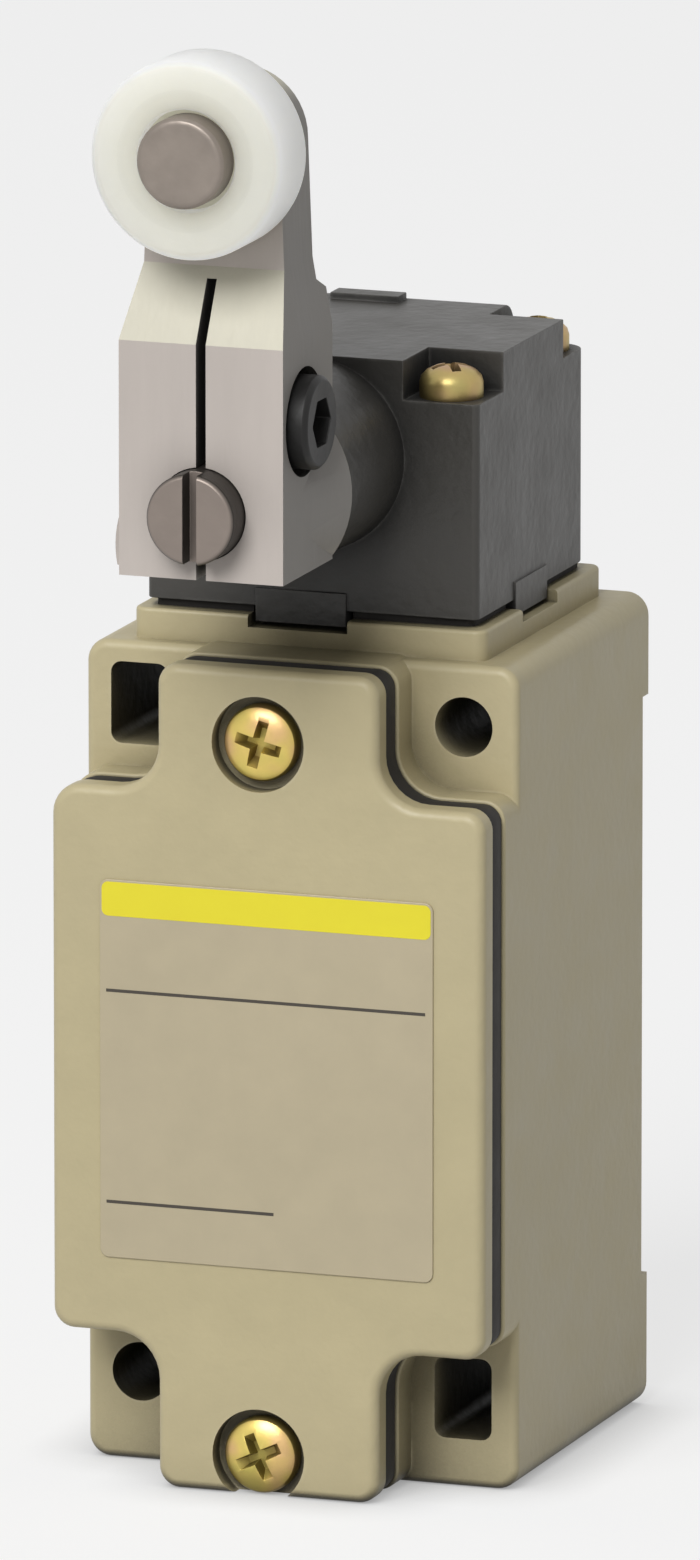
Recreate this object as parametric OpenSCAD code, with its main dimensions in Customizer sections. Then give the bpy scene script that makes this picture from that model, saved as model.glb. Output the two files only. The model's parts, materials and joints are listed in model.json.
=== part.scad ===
// Roller-lever limit switch: die-cast case with a turret head, a clamped lever and a plunger-driven
// contact block.
// The origin is the centre of the fixing-hole pattern on the back mounting plane, +Z up, the cover
// facing -Y.

/* [Fixing] */
// Spacing of the fixing holes, side to side
hole_gap_x = 30; // [29.6:0.1:30.4]
// Spacing of the fixing holes, up and down
hole_gap_z = 60; // [59.6:0.1:60.4]
// Diameter of the fixing holes and width of the slots
hole_d = 5.3; // [5:0.1:5.5]
// Length of the two slotted holes
slot_l = 7.3; // [6.8:0.1:7.6]

/* [Case] */
// Width of the case
case_w = 40; // [39.5:0.1:41]
// Height of the case from foot to shoulder
case_h = 73.5; // [73:0.5:75]
// Foot of the case below the middle of the hole pattern
foot_drop = 38; // [37.5:0.1:38.5]
// Depth from the mounting face to the front of the ears
ear_d = 35; // [34:0.5:36]
// Height of the seal rim in front of the ears
rim_h = 3.4; // [3:0.1:4]
// Tapping diameter of the conduit entry in the foot
conduit_d = 18.5; // [16:0.5:19]

/* [Cover] */
// Thickness of the cover at its edge
cover_t = 2.6; // [2.4:0.1:3.2]
// Thickness of the cover gasket
gasket_t = 3; // [2:0.1:3.2]
// Height of the wide part of the cover
plate_h = 48.8; // [48:0.2:49.4]
// Width of the tongues above and below it
tongue_w = 20.4; // [20:0.1:21]
// Fillet between the wide part and a tongue
notch_r = 4; // [3:0.1:4.4]
// Label on the cover, width and height
label_size = [30.8, 33.8]; // [20:0.1:34]

/* [Head] */
// Width of the head
head_w = 30.6; // [30.4:0.1:31]
// Depth of the head
head_d = 29.4; // [29.2:0.1:29.8]
// Height of the head
head_h = 22.6; // [22.4:0.1:23.4]
// Length of the shaft boss in front of the head
boss_l = 15; // [14:0.1:15.2]

/* [Lever] */
// Shaft axis to roller axis
lever_r = 31.5; // [31:0.1:34]
// Width of the lever at its clamp
lever_w = 15; // [14.6:0.1:15.4]
// Diameter of the roller
roller_d = 17.5; // [16:0.1:18]
// Width of the roller
roller_w = 7; // [6:0.1:7.2]
// Diameter of the operating shaft
shaft_d = 8; // [7.8:0.1:8.2]

/* [Drive] */
// Swing of the lever to each side, in degrees
swing = 75; // [60:1:75]
// Plunger travel for each radian of swing, the base radius of the cam's involute
lift = 1.1; // [0.8:0.05:1.1]
// Shaft axis to the plunger's flat top at rest
cam_rest = 4.6; // [4.5:0.05:4.7]

/* [Hidden] */
$fn = 48;

khaki = [0.74, 0.69, 0.55];
charcoal = [0.22, 0.21, 0.20];
cast_grey = [0.75, 0.72, 0.69];
gold = [0.78, 0.66, 0.33];
steel = [0.62, 0.60, 0.57];
black_steel = [0.17, 0.16, 0.15];
rubber = [0.10, 0.09, 0.08];
nylon = [0.88, 0.87, 0.82];
bronze = [0.66, 0.50, 0.28];
moulding = [0.16, 0.15, 0.14];
spring_steel = [0.55, 0.55, 0.56];
label_tone = [0.84, 0.80, 0.70];

eps = 0.01;
case_top = case_h - foot_drop;
rim_y = -ear_d - rim_h;
cover_back = rim_y - gasket_t;
cover_front = cover_back - cover_t;
case_corner_r = 2;
case_edge_r = 0.8;
corner_r = 1.9;
cover_edge_r = 0.9;
cover_top = case_top + 0.2;
gasket_inset = 0.2;

// Cavity of the case, its floor and the relief between the back pads
cavity = [34, 43];
cavity_r = 3;
floor_y = -6.5;
relief_d = 1.5;
relief_top = 26.4;
relief_bottom = -26;
slot_r = 1;
conduit_y = -18;
blind_hole = 3.4;

// Cover screws, above and below the label
cover_screw_z = [29.1, -34.5];
cover_screw_x = -0.8;
cover_screw_d = 4;
screw_play = 0.15;
cover_screw_head = [6.8, 2];
counterbore_d = 8.5;
counterbore_deep = 1.8;
cover_screw_tip = rim_y + 9;

// Head on its platform
head_y = -17.5;
platform = [32.6, 31.4];
platform_r = 1.2;
platform_top = case_top + 2.7;
head_gasket_t = 0.7;
head_bottom = platform_top + head_gasket_t;
head_top = head_bottom + head_h;
head_front = head_y - head_d / 2;
head_back = head_y + head_d / 2;
head_edge_r = 0.6;
head_rear_r = 2.4;
head_mark = [6.4, 2.2, 0.6];
head_mark_x = -7.2;
boss_r = [8.5, 8.1];
chamber = [17.2, 20];
chamber_r = 1.5;
chamber_front = head_y - chamber[1] / 2;
chamber_back = head_y + chamber[1] / 2;
screw_spread = [23.4, 22.8];
screw_pocket = [6.9, 6.7];
pocket_floor = head_top - 3.5;
head_screw_d = 4;
head_screw_head = [6.2, 2.6];
head_screw_tip = case_top - 1.4;
lug_w = 8.4;
lug_t = 1.8;
lug_proud = 0.2;
lug_shift = -1;
lug_drop = 1.4;
lug_h = 3;
lug_room = 0.4;
lug_notch = 5.8;

// Shaft and what it runs in
shaft_z = head_bottom + 13.8;
roller_z = shaft_z + lever_r;
chamber_top = shaft_z + 6.5;
boss_front = head_front - boss_l;
seal_y = boss_front + 2.2;
bush_wall = 1.5;
shaft_play = 0.04;
seal_d = 13;
seal_gap = 0.08;
hub_gap = 0.7;
hub_back = boss_front - hub_gap;
lever_d = 12.6;
lever_front = hub_back - lever_d;
shaft_front = lever_front - 3;
journal_d = 4.6;
journal_front = -25.7;
journal_back = -4.6;
end_play = 0.4;
clip_y = chamber_front + 0.2;
clip_t = 0.8;
clip_groove_d = 6.6;
screwdriver_slot = [1.2, 1.8];

// Lever arm, clamp and roller
lever_bottom = shaft_z - 5.8;
slope_start = shaft_z + 14.8;
slope_end = shaft_z + 21.1;
hub_r = 9.3;
hub_nose_r = 7.6;
hub_drop = 4;
hub_front = hub_back - 8.6;
arm_front = lever_front + 3.4;
arm_t = 7.2;
arm_w = 12.8;
arm_end_r = 6;
slit_w = 0.9;
clamp_z = shaft_z + 7.6;
clamp_y = lever_front + 5.5;
clamp_d = 5;
clamp_head = [8.2, 5.2];
clamp_pocket_d = 9.6;
clamp_pocket = 3.6;
pin_d = 5;
pin_head = [8, 2.8];
pin_recess = [8.8, 1.5];
pin_rivet = [6.8, 5.6, 0.8];
roller_gap = 0.3;
roller_back = arm_front - roller_gap;
roller_front = roller_back - roller_w;
roller_play = 0.05;

// Cam, plunger and springs
cam_t = 5;
cam_gap = 0.1;
cam_hub_r = 3.1;
cam_end = swing + 2;
cam_steps = 28;
plunger_top = shaft_z - cam_rest - cam_gap;
plunger_d = 6;
plunger_cap = [7.4, 1.5];
plunger_foot = 17;
guide_d = 11;
guide_flange = [14, 1.2];
guide_bottom = 22.5;
seal_room = [9, 1.7];
return_wire = 0.8;
return_r = 3.7;
return_turns = 2;
return_front = -25.2;
return_back = -21.7;
leg_reach = 5.6;
spring_rib = [6.2, 0.8];
plunger_wire = 0.8;
plunger_coil_r = 4.3;
plunger_turns = 5;

// Contact block: heights are from its middle
block_mid = 2.5;
block_w = 30;
block_top = 19.2;
block_bottom = -14.2;
block_plate = 3.5;
block_front = -29;
block_step = 7.3;
carrier = [8, 9];
carrier_play = 0.3;
carrier_top = 19.4;
carrier_low = block_mid - 8;
strip_t = 1;
strip_in = 5.5;
strip_out = 14;
strip_back = -13.5;
button_r = 1.8;
button_t = 0.4;
contact_x = 8;
bridge = [21, 4, 0.8];
bridge_z = 3.5;
window_h = 2.7;
terminal_x = 9.7;
terminal_z = 11.2;
terminal_d = 3;
terminal_head = [6.2, 2.2];
washer_side = 7.4;
washer_t = 0.6;
block_screw_x = 12.5;
small_screw_head = [5.4, 1.8];
earth_at = [12.4, -17.9];

function unit(v) = v / norm(v);
function ring(p, t, axis, r, sides) =
    let (a = unit(cross(t, axis)), b = unit(cross(a, t)))
    [for (i = [0:sides - 1]) p + r * (cos(i * 360 / sides) * a + sin(i * 360 / sides) * b)];
function coil(r, turns, from, to, per_turn = 8) =
    [for (i = [0:turns * per_turn]) let (a = i * 360 / per_turn)
        [r * cos(a), r * sin(a), from + (to - from) * i / (turns * per_turn)]];
// Least distance between points of the path that are more than half a turn apart, less the wire
function self_gap(path, wire, apart = 5) =
    min([for (i = [0:len(path) - 1], j = [0:len(path) - 1]) if (j - i >= apart)
        norm(path[i] - path[j])]) - wire;

// Tube of round wire along a path that winds about an axis
module wire_tube(path, wire, axis = [0, 0, 1], sides = 6) {
    last = len(path) - 1;
    points = [for (i = [0:last])
        each ring(path[i], path[min(i + 1, last)] - path[max(i - 1, 0)], axis, wire / 2, sides)];
    walls = [for (i = [0:last - 1], j = [0:sides - 1])
        let (k = (j + 1) % sides, a = i * sides, b = a + sides)
        each [[a + j, b + k, b + j], [a + j, a + k, b + k]]];
    start = [for (j = [1:sides - 2]) [0, j + 1, j]];
    end = [for (j = [1:sides - 2]) [last * sides, last * sides + j, last * sides + j + 1]];
    polyhedron(points, concat(walls, start, end));
}

// Flat shapes drawn in X and Z, run from front to back
module slab(front, back) {
    translate([0, back, 0]) rotate([90, 0, 0]) linear_extrude(back - front) children();
}

// Flat shapes drawn in Y and Z, run from left to right
module side_slab(left, right) {
    translate([left, 0, 0]) rotate([90, 0, 90]) linear_extrude(right - left) children();
}

// Round bar along Y
module rod(d, front, back, z = 0, x = 0) {
    translate([x, back, z]) rotate([90, 0, 0]) cylinder(d = d, h = back - front);
}

module soft_rect(size, r) {
    square([size[0] - 2 * r, size[1]], center = true);
    square([size[0], size[1] - 2 * r], center = true);
    for (x = [-1, 1], y = [-1, 1])
        translate([x * (size[0] / 2 - r), y * (size[1] / 2 - r)]) circle(r);
}

// Outline of the cover, drawn in by an inset: a wide plate with a tongue above and below
module cross_outline(inset = 0) {
    half = [tongue_w / 2 - inset, plate_h / 2 - inset];
    fillet = notch_r + inset;
    soft_rect([case_w - 2 * inset, plate_h - 2 * inset], corner_r);
    translate([0, (cover_top - foot_drop) / 2])
        soft_rect([tongue_w - 2 * inset, cover_top + foot_drop - 2 * inset], corner_r);
    for (x = [0, 1], y = [0, 1]) mirror([x, 0]) mirror([0, y]) translate(half - [eps, eps]) difference() {
        square(fillet);
        translate([fillet, fillet]) circle(fillet);
    }
}

// Screw along -Z with a crossed recess: the origin is under its head
module cross_screw(d, head, l) {
    dome = 0.25 * head[1];
    slot_w = 0.17 * head[0];
    translate([0, 0, -l]) cylinder(d = d, h = l + eps);
    difference() {
        rotate_extrude() polygon([[0, 0], [head[0] / 2, 0], [head[0] / 2, head[1] - 2 * dome],
            [head[0] / 2 - dome, head[1] - dome / 2], [0.25 * head[0], head[1]], [0, head[1]]]);
        for (a = [0, 90]) rotate(a) translate([-0.31 * head[0], -slot_w / 2, head[1] * 0.45])
            cube([0.62 * head[0], slot_w, head[1]]);
    }
}

// Screw facing the cover: the origin is under its head
module front_screw(d, head, l) {
    rotate([90, 0, 0]) cross_screw(d, head, l);
}

module at_head_screws() {
    for (x = [-1, 1], y = [-1, 1])
        translate([x * screw_spread[0] / 2, head_y + y * screw_spread[1] / 2, 0]) children();
}

// Middle of each side of a block of this size about the head's axis, turned to face -Y
module at_head_sides(size) {
    for (i = [0:3]) translate([0, head_y, 0]) rotate(90 * i) translate([0, -size[(i + 1) % 2] / 2, 0])
        children();
}

module case_body() {
    mid = (case_top - foot_drop) / 2;
    color(khaki) difference() {
        union() {
            intersection() {
                slab(-ear_d, 0) translate([0, mid]) soft_rect([case_w, case_h], case_corner_r);
                translate([0, 0, -foot_drop]) linear_extrude(case_h)
                    translate([0, case_edge_r / 2 - ear_d / 2])
                    soft_rect([case_w, ear_d + case_edge_r], case_edge_r);
            }
            slab(rim_y, -ear_d + case_edge_r) cross_outline();
            translate([0, head_y, case_top - case_corner_r])
                linear_extrude(platform_top - case_top + case_corner_r)
                soft_rect(platform, platform_r);
        }
        slab(rim_y - eps, floor_y) soft_rect(cavity, cavity_r);
        slab(-relief_d, eps) translate([-case_w, relief_bottom])
            square([2 * case_w, relief_top - relief_bottom]);
        for (s = [-1, 1]) {
            rod(hole_d, -ear_d - eps, eps, s * hole_gap_z / 2, s * hole_gap_x / 2);
            slab(-ear_d - eps, eps) translate([-s * hole_gap_x / 2, s * hole_gap_z / 2])
                soft_rect([hole_d, slot_l], slot_r);
        }
        for (z = cover_screw_z) rod(cover_screw_d, rim_y - eps, cover_screw_tip, z, cover_screw_x);
        translate([0, conduit_y, -foot_drop - eps])
            cylinder(d = conduit_d, h = foot_drop - cavity[1] / 2 + 1);
        translate([0, head_y, cavity[1] / 2 - 1]) cylinder(d = guide_d, h = case_h);
        at_head_screws() translate([0, 0, head_screw_tip]) cylinder(d = head_screw_d, h = case_h);
        at_head_sides(platform) translate([0, 0, head_bottom - lug_drop - lug_room])
            linear_extrude(case_h) translate([lug_shift, 0])
                square([lug_w + 2 * lug_room, lug_notch], center = true);
        for (x = [-1, 1])
            rod(terminal_d, floor_y - eps, floor_y + blind_hole, block_mid, x * block_screw_x);
        rod(terminal_d, floor_y - eps, floor_y + blind_hole, earth_at[1], earth_at[0]);
    }
}

// Block with round corners in front view and all its front edges rounded over
module soft_front(size, mid, front, back) {
    deep = 4 * (back - front);
    intersection() {
        slab(front, back) translate([0, mid]) soft_rect(size, corner_r);
        translate([0, 0, mid - size[1] / 2]) linear_extrude(size[1]) translate([0, front + deep / 2])
            soft_rect([size[0], deep], cover_edge_r);
        side_slab(-size[0] / 2, size[0] / 2) translate([front + deep / 2, mid])
            soft_rect([deep, size[1]], cover_edge_r);
    }
}

// Filled inner corner whose front edge flares out to meet the rounded edges beside it
module flared_fillet(front, back) {
    reach = notch_r + cover_edge_r;
    t = back - front;
    translate([tongue_w / 2 + notch_r, back, plate_h / 2 + notch_r]) rotate([90, 0, 0]) difference() {
        translate([-reach, -reach, 0]) cube([reach, reach, t]);
        translate([0, 0, -eps]) cylinder(r = notch_r, h = t + 2 * eps);
        rotate_extrude() difference() {
            translate([notch_r - eps, t - cover_edge_r]) square([cover_edge_r + eps, cover_edge_r + eps]);
            translate([notch_r + cover_edge_r, t - cover_edge_r]) circle(cover_edge_r);
        }
    }
}

module front_cover() {
    pocket_t = 1;
    color(khaki) difference() {
        union() {
            soft_front([case_w, plate_h], 0, cover_front, cover_back);
            soft_front([tongue_w, cover_top + foot_drop], (cover_top - foot_drop) / 2, cover_front,
                cover_back);
            for (x = [0, 1], z = [0, 1]) mirror([x, 0, 0]) mirror([0, 0, z])
                flared_fillet(cover_front, cover_back);
        }
        slab(cover_back - pocket_t, cover_back + eps) soft_rect(cavity, cavity_r);
        for (z = cover_screw_z) {
            rod(cover_screw_d + 2 * screw_play, cover_front - eps, cover_back + eps, z, cover_screw_x);
            rod(counterbore_d, cover_front - eps, cover_front + counterbore_deep, z, cover_screw_x);
        }
    }
}

module cover_gasket() {
    color(rubber) slab(cover_back, rim_y) difference() {
        cross_outline(gasket_inset);
        soft_rect(cavity, cavity_r);
        for (z = cover_screw_z) translate([cover_screw_x, z])
            circle(d = cover_screw_d + 2 * screw_play);
    }
}

module cover_screws() {
    seat = cover_front + counterbore_deep;
    color(gold) for (z = cover_screw_z) translate([cover_screw_x, seat, z])
        front_screw(cover_screw_d, cover_screw_head, cover_screw_tip - seat - 0.5);
}

module label_plate() {
    label_t = 0.2;
    label_mid = -0.7;
    color(label_tone) slab(cover_front - label_t, cover_front) translate([0, label_mid])
        soft_rect(label_size, 0.8);
}

// Outline of the head: its corners toward -Y are crisp, and the rear ones are round
module head_outline(size) {
    soft_rect(size, head_rear_r);
    translate([0, -size[1] / 4]) soft_rect([size[0], size[1] / 2], head_edge_r);
}

module head_housing() {
    long = 2 * head_h;
    color(charcoal) difference() {
        union() {
            intersection() {
                translate([0, head_y, head_bottom]) linear_extrude(head_h)
                    head_outline([head_w, head_d]);
                slab(head_front, head_back) translate([0, head_top - long / 2])
                    soft_rect([head_w, long], head_edge_r);
                side_slab(-head_w / 2, head_w / 2) translate([head_y, head_top - long / 2])
                    rotate(-90) head_outline([long, head_d]);
            }
            translate([0, head_front + eps, shaft_z]) rotate([90, 0, 0])
                cylinder(r1 = boss_r[0], r2 = boss_r[1], h = boss_l + eps);
            translate([head_mark_x, head_back - head_rear_r - head_mark[1], head_top - eps])
                cube(head_mark + [0, 0, eps]);
            at_head_sides([head_w, head_d])
                translate([lug_shift - lug_w / 2, -lug_proud, head_bottom - lug_drop])
                cube([lug_w, lug_t, lug_h]);
        }
        translate([0, head_y, head_bottom - lug_drop - eps])
            linear_extrude(chamber_top - head_bottom + lug_drop)
            soft_rect(chamber, chamber_r);
        at_head_screws() translate([0, 0, head_bottom - eps])
            cylinder(d = head_screw_d + 2 * screw_play, h = head_h);
        for (x = [0, 1], y = [0, 1]) mirror([x, 0, 0]) translate([0, head_y, 0]) mirror([0, y, 0])
            translate([head_w / 2 - screw_pocket[0], head_d / 2 - screw_pocket[1], pocket_floor])
                cube([head_w, head_d, head_h]);
        rod(shaft_d + 2 * bush_wall, boss_front - eps, chamber_front + eps, shaft_z);
        rod(seal_d, boss_front - eps, seal_y, shaft_z);
        rod(journal_d + 2 * bush_wall, chamber_back - eps, journal_back + end_play, shaft_z);
    }
    // Rib under the roof that the legs of the return spring straddle
    color(charcoal) translate([-spring_rib[0] / 2, return_front - 0.5, chamber_top - spring_rib[1]])
        cube([spring_rib[0], return_back - return_front + 0.7, spring_rib[1] + eps]);
}

module head_gasket() {
    window = 15.4;
    inset = 0.6;
    color(rubber) translate([0, head_y, platform_top]) linear_extrude(head_gasket_t) difference() {
        soft_rect([head_w - 2 * inset, head_d - 2 * inset], head_edge_r);
        circle(d = window);
        for (x = [-1, 1], y = [-1, 1]) translate([x * screw_spread[0], y * screw_spread[1]] / 2)
            circle(d = head_screw_d + 2 * screw_play);
        for (i = [0:3]) rotate(90 * i) translate([0, -[head_d, head_w][i % 2] / 2])
            translate([lug_shift, 0]) square([lug_w + 2 * lug_room, lug_notch], center = true);
    }
}

module head_screws() {
    color(gold) at_head_screws() translate([0, 0, pocket_floor])
        cross_screw(head_screw_d, head_screw_head, pocket_floor - head_screw_tip - 0.4);
}

module bush(bore, front, back) {
    color(bronze) difference() {
        rod(bore + 2 * bush_wall, front, back, shaft_z);
        rod(bore + 2 * shaft_play, front - eps, back + eps, shaft_z);
    }
}

module front_bush() {
    bush(shaft_d, seal_y, chamber_front);
}

module rear_bush() {
    bush(journal_d, chamber_back, journal_back + end_play);
}

module shaft_seal() {
    seal_t = 1.8;
    web = 1;
    lip = 0.5;
    inner = shaft_d / 2 + seal_gap;
    color(rubber) translate([0, seal_y, shaft_z]) rotate([90, 0, 0]) rotate_extrude()
        polygon([[inner, 0], [seal_d / 2, 0], [seal_d / 2, seal_t], [inner + 2.6 * lip, seal_t],
            [inner + 2 * lip, web], [inner + lip, web], [inner, seal_t]]);
}

module thrust_washer() {
    washer = [15, 0.4];
    color(steel) difference() {
        rod(washer[0], hub_back, hub_back + washer[1], shaft_z);
        rod(shaft_d, hub_back - eps, hub_back + washer[1] + eps, shaft_z);
    }
}

module operating_shaft() {
    bevel = 0.4;
    color(steel) difference() {
        union() {
            rod(shaft_d, shaft_front + bevel, journal_front, shaft_z);
            translate([0, shaft_front + bevel, shaft_z]) rotate([90, 0, 0])
                cylinder(d1 = shaft_d, d2 = shaft_d - 2 * bevel, h = bevel);
            rod(journal_d, journal_front - eps, journal_back, shaft_z);
        }
        translate([-screwdriver_slot[0] / 2, shaft_front - eps, shaft_z - shaft_d])
            cube([screwdriver_slot[0], screwdriver_slot[1], 2 * shaft_d]);
        difference() {
            rod(shaft_d + 1, clip_y, clip_y + clip_t, shaft_z);
            rod(clip_groove_d, clip_y - eps, clip_y + clip_t + eps, shaft_z);
        }
    }
}

module retaining_clip() {
    clip_d = 12;
    mouth = 4.4;
    relief = [2, 1.1];
    color(spring_steel) difference() {
        rod(clip_d, clip_y, clip_y + clip_t, shaft_z);
        rod(clip_groove_d, clip_y - eps, clip_y + clip_t + eps, shaft_z);
        translate([-mouth / 2, clip_y - eps, shaft_z - clip_d]) cube([mouth, clip_t + 2 * eps, clip_d]);
        for (a = [60, -60]) translate([0, clip_y - eps, shaft_z]) rotate([0, a, 0])
            translate([-relief[0] / 2, 0, clip_d / 2 - 1 - relief[1]])
                cube([relief[0], clip_t + 2 * eps, relief[1]]);
    }
}

// Point of the involute that meets the plunger's flat top when the lever stands at angle a
function cam_point(a) =
    let (h = cam_rest + lift * a * PI / 180, down = a - 90)
    [h * cos(down) - lift * sin(down), h * sin(down) + lift * cos(down)];

module drive_cam() {
    drive_r = [4.5, 5.3];
    drive_half = 34;
    web = 1.5;
    cam_front = head_y - cam_t / 2;
    color(steel) translate([0, 0, shaft_z]) difference() {
        union() {
            slab(cam_front, cam_front + cam_t) {
                circle(cam_hub_r);
                polygon(concat([[0, 0]], [for (i = [0:cam_steps])
                    cam_point(-cam_end + 2 * cam_end * i / cam_steps)]));
            }
            slab(cam_front, cam_front + web) drive_sector(0, drive_r[1], drive_half);
            slab(return_front - 0.4, cam_front + eps) drive_sector(drive_r[0], drive_r[1], drive_half);
        }
        rod(journal_d, cam_front - 1, cam_front + cam_t + 1);
    }
}

// Part of a ring, centred on the upward direction
module drive_sector(inner, outer, half) {
    reach = 2 * outer;
    difference() {
        intersection() {
            circle(outer);
            polygon([[0, 0], [-reach * sin(half), reach * cos(half)],
                [reach * sin(half), reach * cos(half)]]);
        }
        if (inner > 0) circle(inner);
    }
}

function return_path() =
    let (turns = [for (p = coil(return_r, return_turns + 0.5, return_front, return_back)) [p[0], p[2],
        -p[1]]])
    concat([[return_r, return_front, leg_reach], [return_r, return_front, leg_reach / 2]], turns,
        [[-return_r, return_back, leg_reach / 2], [-return_r, return_back, leg_reach]]);

module return_spring() {
    color(spring_steel) translate([0, 0, shaft_z]) wire_tube(return_path(), return_wire, [0, 1, 0]);
}

// Side view of the lever: upright clamp, sloped brow, and the arm set back behind the roller
module lever_profile() {
    top = roller_z + arm_end_r + 1;
    polygon([[lever_front, lever_bottom], [lever_front, slope_start], [arm_front, slope_end],
        [arm_front, top],
        [arm_front + arm_t, top], [arm_front + arm_t, slope_end - 2], [hub_back, slope_end - 3],
            [hub_back, lever_bottom]]);
}

// Front view of the lever: straight clamp, tapered brow and round-ended arm
module lever_outline() {
    polygon([[-lever_w / 2, lever_bottom], [-lever_w / 2, slope_start], [-arm_w / 2, slope_end],
        [-arm_end_r, roller_z],
        [arm_end_r, roller_z], [arm_w / 2, slope_end], [lever_w / 2, slope_start],
            [lever_w / 2, lever_bottom]]);
    translate([0, roller_z]) circle(arm_end_r);
}

// Right half of the hub about a height, flat at the foot of the lever; the left half sits lower
module half_hub(z, nose_r) {
    hub_l = hub_back - hub_front;
    intersection() {
        translate([0, hub_back, z]) rotate([90, 0, 0]) cylinder(r1 = hub_r, r2 = nose_r, h = hub_l);
        translate([-eps, hub_front - 1, lever_bottom]) cube([hub_r + 1, hub_l + 2, 2 * hub_r]);
    }
}

module lever_arm() {
    color(cast_grey) difference() {
        union() {
            intersection() {
                side_slab(-lever_w, lever_w) lever_profile();
                slab(lever_front - 1, hub_back + 1) lever_outline();
            }
            half_hub(shaft_z, hub_nose_r);
            mirror([1, 0, 0]) half_hub(shaft_z - hub_drop, hub_r);
        }
        rod(shaft_d, lever_front - 1, hub_back + 1, shaft_z);
        translate([-slit_w / 2, lever_front - 1, lever_bottom - 1])
            cube([slit_w, lever_d + 2, slope_end - lever_bottom]);
        translate([0, clamp_y, clamp_z]) rotate([0, 90, 0]) {
            cylinder(d = clamp_d, h = 3 * lever_w, center = true);
            translate([0, 0, lever_w / 2 - clamp_pocket]) cylinder(d = clamp_pocket_d, h = lever_w);
        }
        rod(pin_d, arm_front - 1, arm_front + arm_t + 1, roller_z);
    }
}

module clamp_screw() {
    socket = [4, 2.6];
    bevel = 0.4;
    seat = lever_w / 2 - clamp_pocket;
    tip = 0.6 - lever_w / 2;
    color(black_steel) translate([seat, clamp_y, clamp_z]) rotate([0, 90, 0]) difference() {
        union() {
            cylinder(d = clamp_head[0], h = clamp_head[1] - bevel);
            translate([0, 0, clamp_head[1] - bevel])
                cylinder(d1 = clamp_head[0], d2 = clamp_head[0] - 2 * bevel, h = bevel);
            translate([0, 0, tip - seat]) cylinder(d = clamp_d, h = seat - tip + eps);
        }
        translate([0, 0, clamp_head[1] - socket[1]])
            cylinder(d = socket[0] / cos(30), h = 2 * socket[1], $fn = 6);
    }
}

module roller_pin() {
    head_gap = 0.15;
    face = roller_front + pin_recess[1] - head_gap;
    tail = arm_front + arm_t;
    color(steel) translate([0, 0, roller_z]) {
        rod(pin_d, face, tail + eps);
        translate([0, face, 0]) rotate([90, 0, 0]) rotate_extrude() polygon([[0, 0], [pin_head[0] / 2, 0],
            [pin_head[0] / 2, 0.85 * pin_head[1]], [0.46 * pin_head[0], pin_head[1]], [0, pin_head[1]]]);
        translate([0, tail, 0]) rotate([-90, 0, 0])
            cylinder(d1 = pin_rivet[0], d2 = pin_rivet[1], h = pin_rivet[2]);
    }
}

module roller() {
    edge = 0.8;
    dish = [5.8, 0.3];
    face = roller_w - dish[1];
    inner = pin_d / 2 + roller_play;
    color(nylon) translate([0, roller_back, roller_z]) rotate([90, 0, 0]) rotate_extrude($fn = 96)
        polygon([[inner, 0], [roller_d / 2 - edge, 0], [roller_d / 2 - 0.3 * edge, 0.3 * edge],
            [roller_d / 2, edge],
            [roller_d / 2, roller_w - edge], [roller_d / 2 - 0.3 * edge, roller_w - 0.3 * edge],
            [roller_d / 2 - edge, roller_w], [dish[0] + dish[1], roller_w], [dish[0], face],
            [pin_recess[0] / 2, face], [pin_recess[0] / 2, roller_w - pin_recess[1]],
            [inner, roller_w - pin_recess[1]]]);
}

module plunger_guide() {
    color(bronze) translate([0, head_y, 0]) difference() {
        union() {
            translate([0, 0, guide_bottom]) cylinder(d = guide_d, h = platform_top - guide_bottom + eps);
            translate([0, 0, platform_top]) cylinder(d = guide_flange[0], h = guide_flange[1]);
        }
        translate([0, 0, guide_bottom - 1]) cylinder(d = plunger_d + 2 * shaft_play, h = platform_top);
        translate([0, 0, guide_bottom - eps]) cylinder(d = seal_room[0], h = seal_room[1]);
    }
}

module plunger_seal() {
    low = 0.1;
    high = seal_room[1] - low;
    inner = plunger_d / 2 + seal_gap;
    color(rubber) translate([0, head_y, guide_bottom]) rotate_extrude()
        polygon([[inner, low + 0.3], [inner + 0.5, low], [seal_room[0] / 2, low],
            [seal_room[0] / 2, high], [inner, high]]);
}

module plunger() {
    color(steel) translate([0, head_y, 0]) {
        translate([0, 0, plunger_foot])
            cylinder(d = plunger_d, h = plunger_top - plunger_foot - plunger_cap[1] / 2);
        translate([0, 0, plunger_top - plunger_cap[1]]) cylinder(d = plunger_cap[0], h = plunger_cap[1]);
    }
}

function plunger_path() = coil(plunger_coil_r, plunger_turns,
    platform_top + guide_flange[1] + plunger_wire / 2 + 0.05,
        plunger_top - plunger_cap[1] - plunger_wire / 2 - 0.05);

module plunger_spring() {
    color(spring_steel) translate([0, head_y, 0]) wire_tube(plunger_path(), plunger_wire);
}

// Left and right copies of a piece drawn on the right
module both_sides() {
    for (x = [0, 1]) mirror([x, 0, 0]) children();
}

// Upper and lower halves about the middle of the contact block
module half(upper) {
    translate([0, 0, block_mid]) mirror([0, 0, upper ? 0 : 1]) children();
}

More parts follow.
